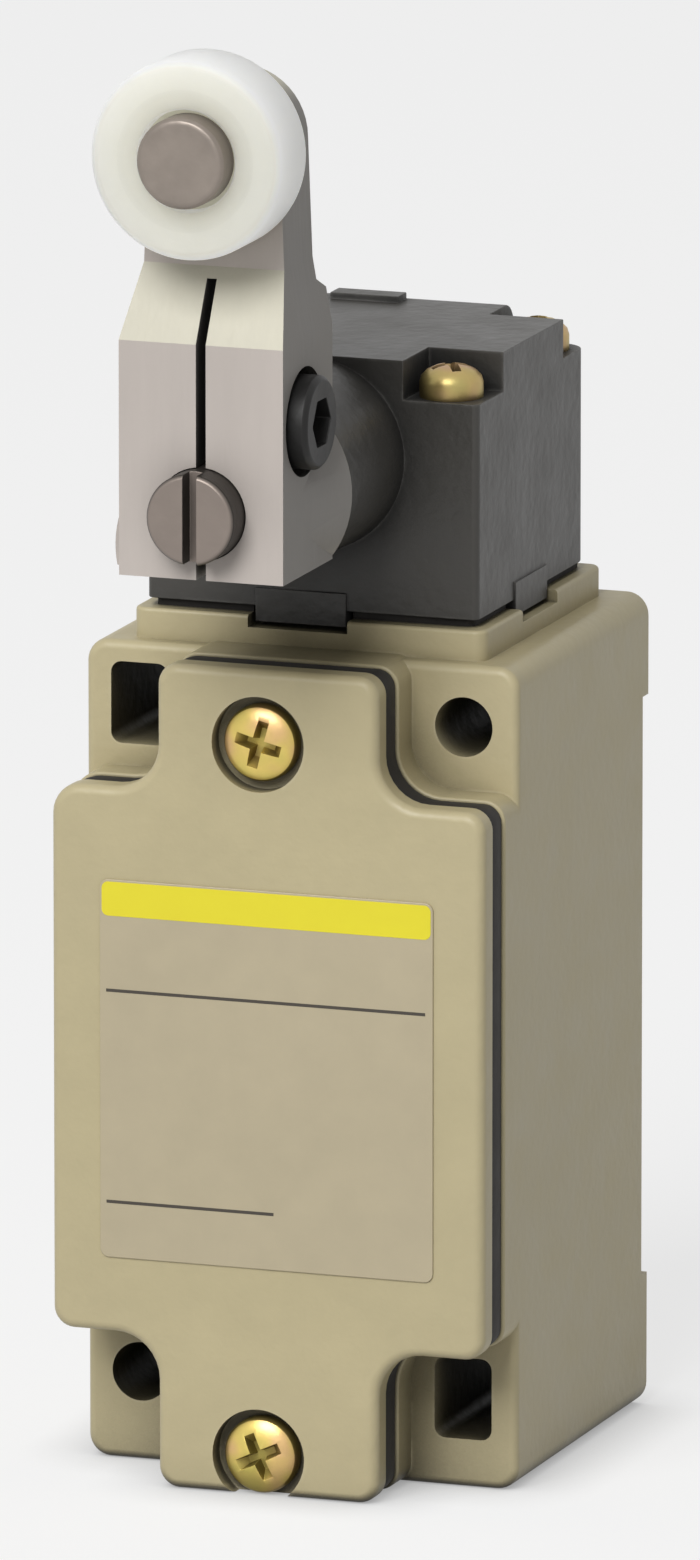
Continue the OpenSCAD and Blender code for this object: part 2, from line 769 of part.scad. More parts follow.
module contact_base() {
    inner = carrier[0] / 2 + carrier_play;
    color(moulding) difference() {
        union() {
            slab(floor_y - block_plate, floor_y) translate([0, (block_top + block_bottom) / 2])
                soft_rect([block_w, block_top - block_bottom], 1.5);
            both_sides() slab(block_front, floor_y - block_plate + eps) {
                translate([inner, block_mid + block_step])
                    square([block_w / 2 - inner, block_top - block_mid - block_step]);
                translate([inner, block_bottom])
                    square([block_w / 2 - inner, block_mid - block_step - block_bottom]);
            }
        }
        for (x = [-1, 1]) rod(terminal_d, -ear_d, 0, block_mid, x * block_screw_x);
        for (upper = [true, false]) half(upper) for (x = [-1, 1])
            rod(terminal_d, -ear_d, block_front + 10, terminal_z, x * terminal_x);
    }
}

module block_screws() {
    seat = floor_y - block_plate;
    color(gold) for (x = [-1, 1]) translate([x * block_screw_x, seat, block_mid])
        front_screw(terminal_d, small_screw_head, block_plate + 3);
}

// Angled strip with a contact button below and a terminal face in front
module fixed_contact() {
    color(bronze) both_sides() difference() {
        union() {
            translate([strip_in, block_front - strip_t, block_step - strip_t])
                cube([strip_out - strip_in, strip_back - block_front + strip_t, strip_t]);
            translate([strip_in, block_front - strip_t, block_step - strip_t])
                cube([strip_out - strip_in, strip_t, block_top - block_mid - block_step]);
            translate([contact_x, head_y, block_step - strip_t - button_t])
                cylinder(r = button_r, h = button_t + eps);
        }
        rod(terminal_d, -ear_d, block_front + 1, terminal_z, terminal_x);
    }
}

module upper_contacts() {
    half(true) fixed_contact();
}

module lower_contacts() {
    half(false) fixed_contact();
}

module at_terminals() {
    for (upper = [-1, 1], x = [-1, 1])
        translate([x * terminal_x, block_front - strip_t, block_mid + upper * terminal_z]) children();
}

module terminal_washers() {
    color(steel) at_terminals() rotate([90, 0, 0]) linear_extrude(washer_t) difference() {
        square(washer_side, center = true);
        circle(d = terminal_d);
    }
}

module terminal_screws() {
    color(gold) at_terminals() translate([0, -washer_t, 0])
        front_screw(terminal_d, terminal_head, washer_t + strip_t + 9);
}

module contact_carrier() {
    color(nylon) difference() {
        translate([-carrier[0] / 2, head_y - carrier[1] / 2, carrier_low])
            cube([carrier[0], carrier[1], carrier_top - carrier_low]);
        translate([0, head_y, plunger_foot]) cylinder(d = plunger_d, h = carrier_top);
        for (upper = [true, false]) half(upper)
            translate([-carrier[0], head_y - bridge[1] / 2, bridge_z + bridge[2] / 2 - window_h])
                cube([2 * carrier[0], bridge[1], window_h]);
    }
}

module contact_bridges() {
    color(bronze) for (upper = [true, false]) half(upper) {
        translate([-bridge[0] / 2, head_y - bridge[1] / 2, bridge_z - bridge[2] / 2]) cube(bridge);
        for (x = [-1, 1]) translate([x * contact_x, head_y, bridge_z])
            cylinder(r = button_r - 0.2, h = bridge[2] / 2 + button_t);
    }
}

module contact_springs() {
    wire = 0.35;
    top = bridge_z - bridge[2] / 2 - wire / 2 - 0.02;
    bottom = bridge_z + bridge[2] / 2 - window_h + wire / 2 + 0.02;
    color(spring_steel) for (upper = [true, false]) half(upper) translate([0, head_y, 0])
        wire_tube(coil(1.4, 2, bottom, top), wire);
}

module earth_screw() {
    washer = 0.8;
    color(gold) translate([earth_at[0], floor_y, earth_at[1]]) {
        rotate([90, 0, 0]) difference() {
            cylinder(d = washer_side - 1, h = washer);
            translate([0, 0, -eps]) cylinder(d = terminal_d - 1, h = washer);
        }
        translate([0, -washer + eps, 0]) front_screw(terminal_d, terminal_head, washer + 3);
    }
}

echo(plunger_spring_gap = self_gap(plunger_path(), plunger_wire));
echo(return_spring_gap = self_gap(return_path(), return_wire));

case_body();
front_cover();
cover_gasket();
cover_screws();
label_plate();
head_housing();
head_gasket();
head_screws();
front_bush();
rear_bush();
shaft_seal();
thrust_washer();
operating_shaft();
retaining_clip();
drive_cam();
return_spring();
lever_arm();
clamp_screw();
roller_pin();
roller();
plunger_guide();
plunger_seal();
plunger();
plunger_spring();
contact_base();
block_screws();
upper_contacts();
lower_contacts();
terminal_screws();
terminal_washers();
contact_carrier();
contact_bridges();
contact_springs();
earth_screw();
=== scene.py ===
import bpy
import bmesh
import json
import math
from mathutils import Matrix, Vector


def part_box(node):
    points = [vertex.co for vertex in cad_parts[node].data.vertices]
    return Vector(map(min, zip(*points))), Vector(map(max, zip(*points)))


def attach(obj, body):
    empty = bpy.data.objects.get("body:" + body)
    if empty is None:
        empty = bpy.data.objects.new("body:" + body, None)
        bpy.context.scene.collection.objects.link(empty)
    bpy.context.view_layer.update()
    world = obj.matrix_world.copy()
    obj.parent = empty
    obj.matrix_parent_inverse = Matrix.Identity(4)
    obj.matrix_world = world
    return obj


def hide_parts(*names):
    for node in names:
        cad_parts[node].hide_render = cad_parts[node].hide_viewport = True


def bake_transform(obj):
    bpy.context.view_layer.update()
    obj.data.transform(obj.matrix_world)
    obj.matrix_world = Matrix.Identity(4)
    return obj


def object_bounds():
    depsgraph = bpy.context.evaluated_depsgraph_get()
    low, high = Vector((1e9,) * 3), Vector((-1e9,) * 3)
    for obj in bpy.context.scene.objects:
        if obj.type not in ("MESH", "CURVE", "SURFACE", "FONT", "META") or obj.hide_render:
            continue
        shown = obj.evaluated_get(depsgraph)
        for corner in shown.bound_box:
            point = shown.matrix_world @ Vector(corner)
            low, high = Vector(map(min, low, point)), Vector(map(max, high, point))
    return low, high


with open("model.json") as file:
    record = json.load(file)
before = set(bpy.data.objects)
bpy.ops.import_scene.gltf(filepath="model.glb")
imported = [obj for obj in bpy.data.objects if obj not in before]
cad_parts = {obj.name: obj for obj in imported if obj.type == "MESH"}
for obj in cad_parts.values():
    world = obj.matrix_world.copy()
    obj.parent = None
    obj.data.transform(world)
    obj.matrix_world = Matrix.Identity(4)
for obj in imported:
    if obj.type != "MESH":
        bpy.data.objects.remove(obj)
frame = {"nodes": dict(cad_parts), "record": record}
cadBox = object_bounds()
mm = 0.001
past = 1  # millimetres that a cutting tool reaches beyond what it cuts
print("frame loaded:", len(frame["nodes"]), "nodes")


def tone(r, g, b):  # 0-255 screen colour to a linear one
    linear = lambda c: c / 12.92 if c <= 0.04045 else ((c + 0.055) / 1.055) ** 2.4
    return tuple(linear(c / 255) for c in (r, g, b)) + (1.0,)


def shaded(colour, by):
    return tuple(min(1.0, c * by) for c in colour[:3]) + (1.0,)


def span(node):  # a node's lowest and highest corner in millimetres
    return tuple(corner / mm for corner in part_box(node))


# camera; lengths in millimetres, clip in metres
view = {"azimuth": 19.616, "elevation": 12.079, "distance": 2000, "aim": (0, -25, 25),
        "slide": (0.889, -2.724), "pixelsPerMm": 11.419, "imageHeight": 1560, "sensor": 36,
        "clip": (0.05, 60)}


def lookAhead(azimuth, elevation):  # the way something looks that stands there, in degrees
    az, el = math.radians(azimuth), math.radians(elevation)
    return Vector((-math.sin(az) * math.cos(el), math.cos(az) * math.cos(el), -math.sin(el)))


def placeCamera(v):
    ahead = lookAhead(v["azimuth"], v["elevation"])
    right = ahead.cross(Vector((0, 0, 1))).normalized()
    up = right.cross(ahead)
    data = bpy.data.cameras.new("photoCamera")
    data.sensor_width = v["sensor"]
    data.lens = v["pixelsPerMm"] * v["distance"] * v["sensor"] / v["imageHeight"]
    data.clip_start, data.clip_end = v["clip"]
    cam = bpy.data.objects.new("photoCamera", data)
    spot = Vector(v["aim"]) - ahead * v["distance"] + right * v["slide"][0] + up * v["slide"][1]
    cam.location = spot * mm
    cam.rotation_euler = ahead.to_track_quat("-Z", "Y").to_euler()
    bpy.context.scene.collection.objects.link(cam)
    bpy.context.scene.camera = cam


placeCamera(view)


class Wire:  # a socket that can be reckoned with
    def __init__(self, tree, socket=None):
        self.tree, self.socket = tree, socket

    def make(self, kind, settings=None, inputs=None, out=0):
        node = self.tree.nodes.new(kind)
        for key, value in (settings or {}).items():
            setattr(node, key, value)
        for key, value in (inputs or {}).items():
            if isinstance(value, Wire):
                self.tree.links.new(value.socket, node.inputs[key])
            else:
                node.inputs[key].default_value = value
        return Wire(self.tree, node.outputs[out] if len(node.outputs) else None)

    def math(self, kind, a, b, clamp=False):
        return self.make("ShaderNodeMath", {"operation": kind, "use_clamp": clamp}, {0: a, 1: b})

    def __add__(self, other):
        return self.math("ADD", self, other)

    def __sub__(self, other):
        return self.math("SUBTRACT", self, other)

    def __rsub__(self, other):
        return self.math("SUBTRACT", other, self)

    def __mul__(self, other):
        return self.math("MULTIPLY", self, other)

    __radd__, __rmul__ = __add__, __mul__

    def clip(self):  # kept between 0 and 1
        return self.math("ADD", self, 0.0, True)

    def larger(self, other):
        return self.math("MAXIMUM", self, other)

    def band(self, low, high):  # 0 below low, 1 above high
        return self.make("ShaderNodeMapRange", {"clamp": True}, {0: self, 1: low, 2: high, 3: 0.0, 4: 1.0})

    def blend(self, a, b):  # this value mixes two colours
        return self.make("ShaderNodeMix", {"data_type": "RGBA"}, {0: self, 6: a, 7: b}, 2)

    def dot(self, a, b):
        return self.make("ShaderNodeVectorMath", {"operation": "DOT_PRODUCT"}, {0: a, 1: b}, "Value")

    def noise(self, scale, detail, rough=0.55, stretch=(1, 1, 1)):
        place = self.make("ShaderNodeTexCoord", out="Object")
        place = self.make("ShaderNodeMapping", None, {"Vector": place, "Scale": stretch})
        sockets = {"Vector": place, "Scale": scale, "Detail": detail, "Roughness": rough}
        return self.make("ShaderNodeTexNoise", None, sockets)

    def crevice(self, reach, samples=8):  # 0 in the open, 1 deep in a hollow
        sockets = {"Distance": reach * mm}
        return 1 - self.make("ShaderNodeAmbientOcclusion", {"samples": samples}, sockets, "AO")

    def shown(self):  # rays that see the backdrop itself
        rays = [self.make("ShaderNodeLightPath", out="Is " + kind + " Ray")
                for kind in ("Camera", "Glossy", "Transmission")]
        return rays[0].larger(rays[1]).larger(rays[2])


# soft studio light, pale floor and backdrop; in metres, but floorGap and contact in millimetres
studio = {"ambient": 0.235, "tilt": (-0.06, 0.1, 0), "backdrop": 0.85, "floorGlow": 1.2, "floorShare": 0.6,
          "floorTone": 0.65, "floorHalf": 8.0, "floorGap": 0.02, "contact": 7.0, "contactShade": 0.6,
          "key": {"azimuth": -6, "elevation": 40, "distance": 3.0, "size": 1.6, "power": 67}}
white, black = (1, 1, 1, 1), (0, 0, 0, 1)


def emptyTree(block):
    block.use_nodes = True
    block.node_tree.nodes.clear()
    return Wire(block.node_tree)


def lightScene(s):
    scene = bpy.context.scene
    scene.view_settings.view_transform = "Standard"
    scene.world = bpy.data.worlds.new("softStudio")
    w = emptyTree(scene.world)
    lean = w.dot(w.make("ShaderNodeTexCoord", out="Generated"), s["tilt"])
    seen = w.shown()
    strength = (s["ambient"] + lean) * (1 - seen) + s["backdrop"] * seen
    glow = w.make("ShaderNodeBackground", None, {"Color": white, "Strength": strength})
    w.make("ShaderNodeOutputWorld", None, {"Surface": glow})
    key = s["key"]
    lamp = bpy.data.lights.new("key", "AREA")
    lamp.size, lamp.energy = key["size"], key["power"]
    holder = bpy.data.objects.new("key", lamp)
    ahead = lookAhead(key["azimuth"], key["elevation"])
    holder.location = ahead * -key["distance"]
    holder.rotation_euler = ahead.to_track_quat("-Z", "Y").to_euler()
    scene.collection.objects.link(holder)


def layFloor(s):
    paper = bpy.data.materials.new("paleFloor")
    w = emptyTree(paper)
    matte = w.make("ShaderNodeBsdfDiffuse", None, {"Color": (s["floorTone"],) * 3 + (1,)})
    near = (w.crevice(s["contact"]) * s["contactShade"]).blend(white, black)  # painted contact shadow, darker right beside the foot
    lit = w.make("ShaderNodeEmission", None, {"Color": near, "Strength": s["floorGlow"]})
    mixed = w.make("ShaderNodeMixShader", None, {0: w.shown() * s["floorShare"], 1: matte, 2: lit})
    w.make("ShaderNodeOutputMaterial", None, {"Surface": mixed})
    mesh = bpy.data.meshes.new("floor")
    half, level = s["floorHalf"], cadBox[0].z - s["floorGap"] * mm
    corners = [(x, y, level) for x, y in ((-half, -half), (half, -half), (half, half), (-half, half))]
    mesh.from_pydata(corners, [], [(0, 1, 2, 3)])
    mesh.materials.append(paper)
    floor = bpy.data.objects.new("floor", mesh)
    bpy.context.scene.collection.objects.link(floor)


lightScene(studio)
layFloor(studio)
print("camera, light and floor placed")

# what each finish is made of; lengths in millimetres, noise scales in cells per metre
plainFinish = {
    "metal": 0.0, "spec": 0.5, "glow": 0.0, "haze": 0.0, "hazeReach": 1.0, "hazeTint": (1, 0.95, 0.85),
    "grain": 220.0, "patch": 35.0, "stretch": (1, 1, 1), "swing": 0.22,
    "mottle": 0.08, "mottleGain": 2.5, "mottleRange": (0.8, 1.2), "grainShare": 1.4,
    "tints": (), "tintPatch": 300.0, "tintBand": (0.5, 0.65), "tintShare": 0.6,  # plating of changing hue
    "facing": (), "bump": 0.2, "bumpHeight": 0.2, "skin": 900.0,
    "dirtAndShade": 0.35, "dirtAndShadeReach": 4.0, "dirtAndShadeTone": 0.35, "dull": 0.15,  # dirt and painted shade in corners
    "shade": 0.3, "shadeReach": 25.0, "shadeBand": (0.35, 0.9), "shadeTone": 0.3,  # under overhangs
    "deep": 0.0, "recessShadeReach": 16.0, "recessShadeBand": (0.52, 0.85), "recessShadeTone": 0.04,  # painted shade in bores and pockets
    "wear": None, "wearWidth": 0.6, "wearBend": (0.03, 0.22), "wearPatch": (0.42, 0.62),  # on rubbed edges
    "wearShare": 0.55, "wearPolish": 0.1}
finishes = {
    "case_paint": {"base": tone(197, 185, 147), "rough": 0.42, "mottle": 0.10, "bump": 0.3, "dirtAndShade": 0.4,
                   "wear": tone(210, 200, 170), "deep": 0.93},
    # strong painted shade round the boss and in the screw pockets
    "head_paint": {"base": tone(64, 62, 58), "rough": 0.42, "mottle": 0.12, "bump": 0.4, "dirtAndShade": 1.7,
                   "dull": 0.5, "shade": 0.7, "wear": tone(118, 116, 112), "deep": 0.8,
                   "recessShadeBand": (0.3, 0.6)},
    "lever_cast": {"base": tone(197, 188, 181), "rough": 0.55, "metal": 0.1, "mottle": 0.2, "grain": 160.0,
                   "bump": 0.3, "stretch": (1, 1, 0.12), "dirtAndShade": 0.5, "deep": 0.9,
                   # painted light on the upward brow, painted shade on the side faces
                   "facing": (((0, 0, 1), (0.2, 0.4), tone(205, 201, 184)),
                              ((1, 0, 0), (0.6, 0.85), tone(146, 142, 137)))},
    "steel": {"base": tone(140, 129, 121), "rough": 0.42, "metal": 0.6, "mottle": 0.14, "grain": 320.0,
              # painted shade on round flanks
              "facing": (((1, 0, 1), (0.6, 0.85), tone(58, 54, 50)),)},
    "pin_steel": {"base": tone(146, 136, 127), "rough": 0.42, "metal": 0.6, "mottle": 0.3, "patch": 250.0,
                  "grain": 320.0},
    "black_steel": {"base": tone(26, 25, 24), "rough": 0.46, "metal": 0.3, "mottle": 0.14, "grain": 320.0,
                    "wear": tone(76, 74, 72), "wearWidth": 0.3},
    "spring_steel": {"base": tone(140, 140, 142), "rough": 0.35, "metal": 0.85},
    # dirt and painted shade darken the cross recesses
    "gold_screw": {"base": tone(228, 202, 114), "rough": 0.34, "metal": 0.75, "mottle": 0.25,
                   "grain": 420.0, "bump": 0.1, "dirtAndShade": 0.6, "deep": 0.45, "recessShadeBand": (0.4, 0.7),
                   "tints": (tone(224, 176, 138), tone(208, 198, 102))},
    "dull_screw": {"base": tone(196, 172, 112), "rough": 0.4, "metal": 0.75, "mottle": 0.25,
                   "grain": 420.0, "bump": 0.1, "dirtAndShade": 0.7, "deep": 0.6, "recessShadeBand": (0.4, 0.7),
                   "tints": (tone(196, 156, 130), tone(178, 168, 104))},
    "bronze": {"base": tone(168, 128, 72), "rough": 0.4, "metal": 0.85},
    "contact_brass": {"base": tone(205, 170, 95), "rough": 0.32, "metal": 0.9},
    "rubber": {"base": tone(34, 31, 28), "rough": 0.75, "bump": 0.3},
    "nylon": {"base": tone(228, 225, 207), "rough": 0.48, "mottle": 0.04, "bump": 0.15, "spec": 0.4,
              # painted light: a faint glow and a whiter tread keep the roller bright on its shaded sides
              "shade": 0.0, "haze": 1.0, "hazeReach": 20.0, "glow": 0.25,
              "facing": (((1, 0, 1), (0.3, 0.95), tone(248, 246, 234)),)},
    "carrier_nylon": {"base": tone(214, 209, 194), "rough": 0.5, "mottle": 0.05, "bump": 0.15},
    "moulding": {"base": tone(44, 42, 40), "rough": 0.55, "bump": 0.3},
    "label": {"base": tone(193, 181, 152), "rough": 0.4, "metal": 0.1, "mottle": 0.1, "grain": 300.0,
              "bump": 0.08, "dirtAndShade": 0.2},
    "label_yellow": {"base": tone(255, 230, 50), "rough": 0.4, "mottle": 0.06, "grain": 300.0,
                     "bump": 0.08, "dirtAndShade": 0.2},
    "label_ink": {"base": tone(70, 64, 56), "rough": 0.5, "bump": 0.05},
}


def mixFinish(name, spec):
    f = {**plainFinish, **spec}
    mat = bpy.data.materials.new(name)
    w = emptyTree(mat)
    fine = w.noise(f["grain"], detail=4.0, rough=0.6, stretch=f["stretch"])
    patches = w.noise(f["patch"], detail=2.0)
    cloud = (patches - 0.5) * f["mottle"] + (fine - 0.5) * (f["grainShare"] * f["mottle"])
    cloud = (cloud * f["mottleGain"] + 0.5).clip()
    mottled = lambda c: cloud.blend(*(shaded(c, by) for by in f["mottleRange"]))
    colour = mottled(f["base"])
    if f["tints"]:
        hue = w.noise(f["tintPatch"], detail=1.0)
        for share, other in zip((hue, 1 - hue), f["tints"]):
            colour = (share.band(*f["tintBand"]) * f["tintShare"]).blend(colour, mottled(other))
    for axes, limits, other in f["facing"]:  # painted light and shade: faces that look along these axes get a lighter or darker tone
        normal = w.make("ShaderNodeTexCoord", out="Normal")
        along = w.make("ShaderNodeVectorMath", {"operation": "MULTIPLY"}, {0: normal, 1: axes})
        share = w.make("ShaderNodeVectorMath", {"operation": "LENGTH"}, {0: along}, "Value")
        colour = share.band(*limits).blend(colour, mottled(other))
    # dirt and painted shade: darker in corners and creases
    hollow = w.crevice(f["dirtAndShadeReach"])
    colour = (hollow * f["dirtAndShade"]).clip().blend(colour, shaded(f["base"], f["dirtAndShadeTone"]))
    overhung = w.crevice(f["shadeReach"]).band(*f["shadeBand"]) * f["shade"]
    colour = overhung.blend(colour, shaded(f["base"], f["shadeTone"]))
    # painted shade deep in bores, slots and pockets
    if f["deep"]:
        sunk = w.crevice(f["recessShadeReach"]).band(*f["recessShadeBand"]) * f["deep"]
        colour = sunk.blend(colour, shaded(f["base"], f["recessShadeTone"]))
    roughness = (f["rough"] + (fine - 0.5) * f["swing"] + hollow * f["dull"]).clip()
    if f["wear"]:
        worn = w.make("ShaderNodeBevel", {"samples": 6}, {"Radius": f["wearWidth"] * mm})
        bend = 1 - w.dot(worn, w.make("ShaderNodeNewGeometry", out="Normal"))
        rubbed = bend.band(*f["wearBend"]) * fine.band(*f["wearPatch"])
        colour = (rubbed * f["wearShare"]).blend(colour, f["wear"])
        roughness = (roughness - rubbed * f["wearPolish"]).clip()
    skin = w.noise(f["skin"], detail=2.0, rough=0.5, stretch=f["stretch"])
    sockets = {"Strength": f["bump"], "Distance": f["bumpHeight"] * mm, "Height": skin}
    shader = w.make("ShaderNodeBsdfPrincipled", None, {
        "Base Color": colour, "Roughness": roughness, "Metallic": f["metal"],
        "Normal": w.make("ShaderNodeBump", None, sockets), "Specular IOR Level": f["spec"],
        "Subsurface Weight": f["haze"], "Subsurface Scale": f["hazeReach"] * mm,
        # glow is painted light: the surface glows though it is no lamp
        "Subsurface Radius": f["hazeTint"], "Emission Color": colour if f["glow"] else f["base"],
        "Emission Strength": f["glow"]})
    w.make("ShaderNodeOutputMaterial", None, {"Surface": shader})
    return mat


paints = {name: mixFinish(name, spec) for name, spec in finishes.items()}
slotOf = {s["node"]: s["material_slot"] for s in frame["record"]["subparts"]}
for nodeName, nodeObject in frame["nodes"].items():
    nodeObject.data.materials.clear()
    nodeObject.data.materials.append(paints[slotOf[nodeName]])
print("finishes mixed:", len(paints))


# outlines and solids, all in millimetres
def arc(cx, cy, r, start, end, steps=8):
    turn = (math.radians(start + (end - start) * i / steps) for i in range(steps + 1))
    return [(cx + r * math.cos(t), cy + r * math.sin(t)) for t in turn]


def softRect(w, h, r, cx=0.0, cy=0.0, far=None):  # far: another radius for the two upper corners
    q = r if far is None else far
    x, y, s, t = w / 2 - r, h / 2 - r, w / 2 - q, h / 2 - q
    return (arc(cx + x, cy - y, r, -90, 0) + arc(cx + s, cy + t, q, 0, 90)
            + arc(cx - s, cy + t, q, 90, 180) + arc(cx - x, cy - y, r, 180, 270))


def shrinking(w, h, r, cx=0.0, cy=0.0, least=0.0):  # a softRect for any inset; least: its smallest radius
    return lambda inset: softRect(w - 2 * inset, h - 2 * inset, max(least, r - inset), cx, cy)


def circle(r, cx=0.0, cy=0.0, steps=48):
    return arc(cx, cy, r, 0, 360 - 360 / steps, steps - 1)


def fromLoops(name, loops, closed=False):
    mesh = bmesh.new()
    rings = [[mesh.verts.new(Vector(p) * mm) for p in loop] for loop in loops]
    for a, b in zip(rings, rings[1:] + rings[:1] if closed else rings[1:]):
        for i in range(len(a)):
            j = (i + 1) % len(a)
            mesh.faces.new((a[i], a[j], b[j], b[i]))
    if not closed:
        mesh.faces.new(rings[0])
        mesh.faces.new(rings[-1])
    bmesh.ops.recalc_face_normals(mesh, faces=mesh.faces)
    data = bpy.data.meshes.new(name)
    mesh.to_mesh(data)
    mesh.free()
    piece = bpy.data.objects.new(name, data)
    bpy.context.scene.collection.objects.link(piece)
    return piece


def loft(name, outline, levels, axis="y"):  # outline(inset) at each (inset, level) along an axis
    order = {"x": (2, 0, 1), "y": (0, 2, 1), "z": (0, 1, 2)}[axis]
    loops = []
    for inset, level in levels:
        loops.append([tuple((u, v, level)[k] for k in order) for u, v in outline(inset)])
    return fromLoops(name, loops)


def prism(name, points, start, end, axis="y"):
    return loft(name, lambda inset: points, [(0, start), (0, end)], axis)


def overEdge(r, face, inward, steps=4):  # (inset, level) pairs over a rounded edge
    angles = (math.pi / 2 * i / steps for i in range(steps + 1))
    return [(r * (1 - math.sin(a)), face + inward * r * (1 - math.cos(a))) for a in angles]


def standing(origin, towards):
    return Matrix.Translation(Vector(origin)) @ Vector(towards).to_track_quat("Z", "Y").to_matrix().to_4x4()


def turned(name, profile, origin, towards, steps=64, least=0.01):  # spins (radius, distance) pairs
    place = standing(origin, towards)
    turns = [2 * math.pi * i / steps for i in range(steps)]
    loops = []
    for radius, d in profile:
        r = max(radius, least)
        loops.append([tuple(place @ Vector((r * math.cos(t), r * math.sin(t), d))) for t in turns])
    return fromLoops(name, loops, closed=profile[0][0] > 0 and profile[-1][0] > 0)


def box(name, low, high, place=Matrix.Identity(4)):
    (a, b, c), (d, e, f) = low, high
    corners = ((a, b), (d, b), (d, e), (a, e))
    return fromLoops(name, [[tuple(place @ Vector((x, y, z))) for x, y in corners] for z in (c, f)])


def settle(piece):
    bpy.context.view_layer.update()
    ready = piece.evaluated_get(bpy.context.evaluated_depsgraph_get())
    mesh = bpy.data.meshes.new_from_object(ready)
    piece.modifiers.clear()
    old, piece.data = piece.data, mesh
    bpy.data.meshes.remove(old)
    return piece


def combine(piece, tools, how="DIFFERENCE"):
    for tool in tools:
        step = piece.modifiers.new(how.lower(), "BOOLEAN")
        step.object, step.operation, step.solver = tool, how, "EXACT"
        settle(piece)
        bpy.data.objects.remove(tool)
    return piece


edges = {"weld": 0.002, "flat": 0.6, "bevelFrom": 32, "sharpFrom": 38}  # millimetres, then degrees


def soften(piece, width=0.0, segments=2, angle=edges["bevelFrom"]):  # cleans up, then rounds the edges
    mesh = bmesh.new()
    mesh.from_mesh(piece.data)
    bmesh.ops.remove_doubles(mesh, verts=mesh.verts, dist=edges["weld"] * mm)
    flat = math.radians(edges["flat"])
    bmesh.ops.dissolve_limit(mesh, angle_limit=flat, verts=mesh.verts, edges=mesh.edges)
    mesh.to_mesh(piece.data)
    mesh.free()
    if width:
        edge = piece.modifiers.new("edges", "BEVEL")
        edge.width, edge.segments, edge.limit_method = width * mm, segments, "ANGLE"
        edge.angle_limit = math.radians(angle)
        edge.miter_outer = "MITER_ARC"
        settle(piece)
    piece.data.polygons.foreach_set("use_smooth", [True] * len(piece.data.polygons))
    piece.data.set_sharp_from_angle(angle=math.radians(edges["sharpFrom"]))
    level = piece.modifiers.new("normals", "WEIGHTED_NORMAL")
    level.keep_sharp = True
    return settle(piece)


def dress(piece, body, paint, *nodes, slot=None):
    piece.data.materials.clear()
    piece.data.materials.append(paints[paint])
    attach(piece, body)
    if nodes:
        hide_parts(*nodes)


# shares of the head's height and of the recess's width at its floor and mouth; crown in degrees
panHead = {"side": 0.45, "crown": (20, 40, 60, 75), "recess": (0.55, 1.15), "mouth": 0.5, "soft": 0.1}


def crossScrew(name, seat, towards, s, turn, p=panHead):  # pan head with a crossed recess
    (r, h), tip, side = s["head"], -s["length"], p["side"]
    profile = [(0, tip), (s["shank"], tip), (s["shank"], 0), (r, 0), (r, h * side)]
    crown = (math.radians(a) for a in p["crown"])
    profile += [(r * math.cos(t), h * (side + (1 - side) * math.sin(t))) for t in crown] + [(0, h)]
    screw = turned(name, profile, seat, towards)
    wing, thick = s["wing"] * r, s["thick"] * r
    corners = ((-wing, -thick), (wing, -thick), (wing, thick), (-wing, thick))
    levels = list(zip((h - s["depth"], h + p["mouth"]), p["recess"]))
    cuts = []
    for a in (turn, turn + 90):
        spin = standing(seat, towards) @ Matrix.Rotation(math.radians(a), 4, "Z")
        loops = [[tuple(spin @ Vector((x * k, y * k, z))) for x, y in corners] for z, k in levels]
        cuts.append(fromLoops("recess", loops))
    return soften(combine(screw, cuts), p["soft"])


def placeScrews(name, node, seats, towards, s, paint):  # the first of them stands for the CAD's group
    for i, seat in enumerate(seats):
        screw = crossScrew(name + "." + str(i + 1), seat, towards, s, s["turn"] + s["turnStep"] * i)
        dress(screw, "case", paint, *([node] if i == 0 else []), slot="gold_screw")


# case
coverLow, coverHigh = span("front_cover")
caseLow, caseHigh = span("case_body")
cover = {"plate": (40, 48.8), "tongue": 20.4, "top": coverHigh.z, "foot": coverLow.z, "corner": 1.9,
         "leastCorner": 0.15, "notch": 4.0, "upperLeft": 2.7, "front": coverLow.y, "back": coverHigh.y,
         "edge": 0.9, "backEdge": 0.3, "pocket": 1.0, "bore": 4.25, "boreDepth": 1.8, "hole": 2.15,
         "screwX": -0.8, "screwZ": (29.1, -34.5), "soft": 0.2}
head = {"size": (30.6, 29.4), "y": -17.5, "bottom": 38.9, "top": 61.5, "crisp": 0.6, "rear": 2.4,
        "pocket": (6.9, 6.7, 3.5), "screwAt": (11.7, 11.4), "hole": 2.15, "boss": (8.5, 8.1, 15.0),
        "bossBevel": 0.4, "shaftZ": 52.7, "chamber": (17.2, 20, 1.5, 59.2), "mark": (-7.2, 6.4, 2.2, 0.6),
        "markRoot": 0.5, "bores": ((5.5, -48, -27), (6.5, -48, -45), (3.8, -8, -4.2)),
        "lug": (8.4, 1.8, 3.0), "lugShift": -1.0, "lugProud": 0.2, "lugDrop": 1.4, "soft": 0.3}
case = {"width": 40, "foot": caseLow.z, "top": 35.5, "ear": -35, "rim": caseLow.y, "rimEdge": 0.25,
        "rimRoot": 2, "edge": 0.8, "corner": 2.0, "leastCorner": 0.3, "cavity": (34, 43, 3), "floor": -6.5,
        "relief": (1.5, -26, 26.4), "hole": 2.65, "holeAt": (15, 30), "slot": (5.3, 7.3, 1.0),
        "platform": (32.6, 31.4), "platformCorner": 1.2, "platformEdge": 0.35, "platformRoot": 3,
        "platformTop": caseHigh.z, "conduit": 9.95, "conduitY": -18, "lugRoom": 0.4, "lugNotch": 5.8,
        "guide": 5.5, "tapped": 2.0, "headTip": 34.1, "coverTip": 9, "soft": 0.2}


